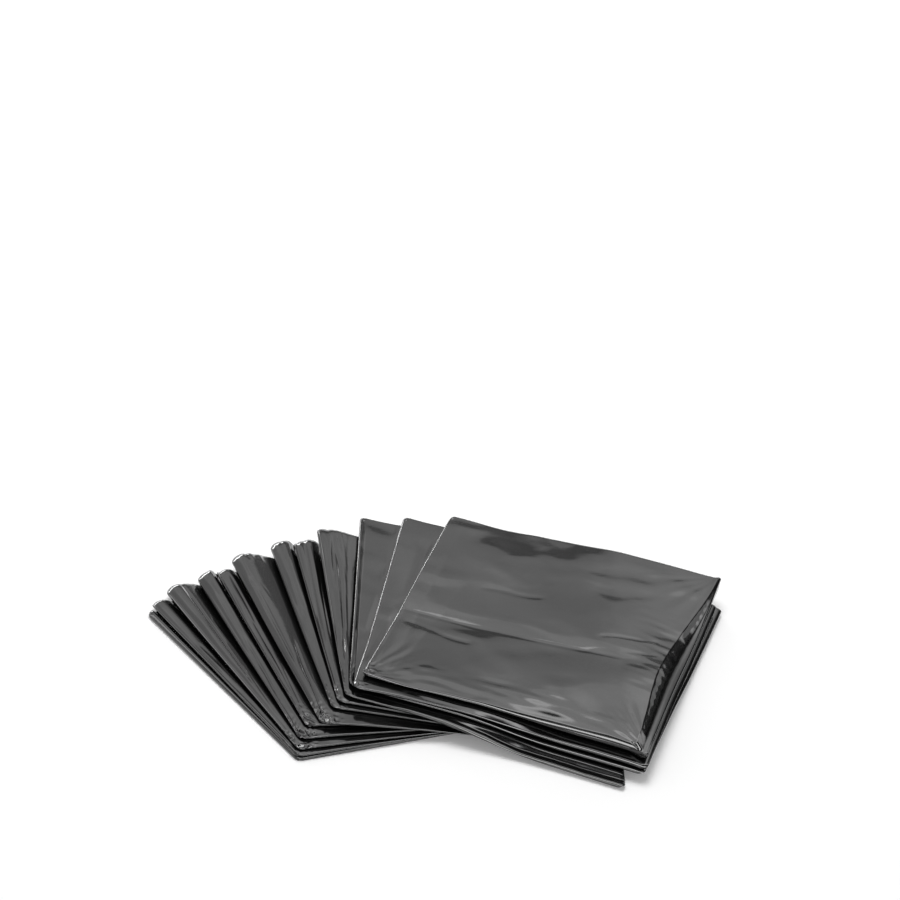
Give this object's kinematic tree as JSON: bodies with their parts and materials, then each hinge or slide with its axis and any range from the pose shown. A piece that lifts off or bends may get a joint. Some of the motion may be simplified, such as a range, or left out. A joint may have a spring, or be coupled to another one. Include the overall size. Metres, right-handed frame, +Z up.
{
  "type": "fanned stack of folded bin bags",
  "caption": "Stack of flat-folded black plastic bin bags spread out like a fan: plump rounded folds turn round one front corner, square packets with rounded edges lie on top.",
  "frame": {"origin": "centre of the stack's footprint box, on the surface it lies on", "axes": "+X to the right, from the fanned folds to the square packets; +Y away from the front edges; +Z up"},
  "size_m": [0.7582, 0.4822, 0.0645],
  "materials": {
    "film": "semi-gloss black polyethylene film, lightly creased"
  },
  "bodies": {
    "root": {"bag_01": "film", "bag_02": "film", "bag_03": "film", "bag_04": "film", "bag_05": "film", "bag_06": "film", "bag_07": "film", "bag_08": "film", "bag_09": "film", "bag_10": "film", "bag_11": "film", "bag_12": "film"}
  },
  "joints": []
}
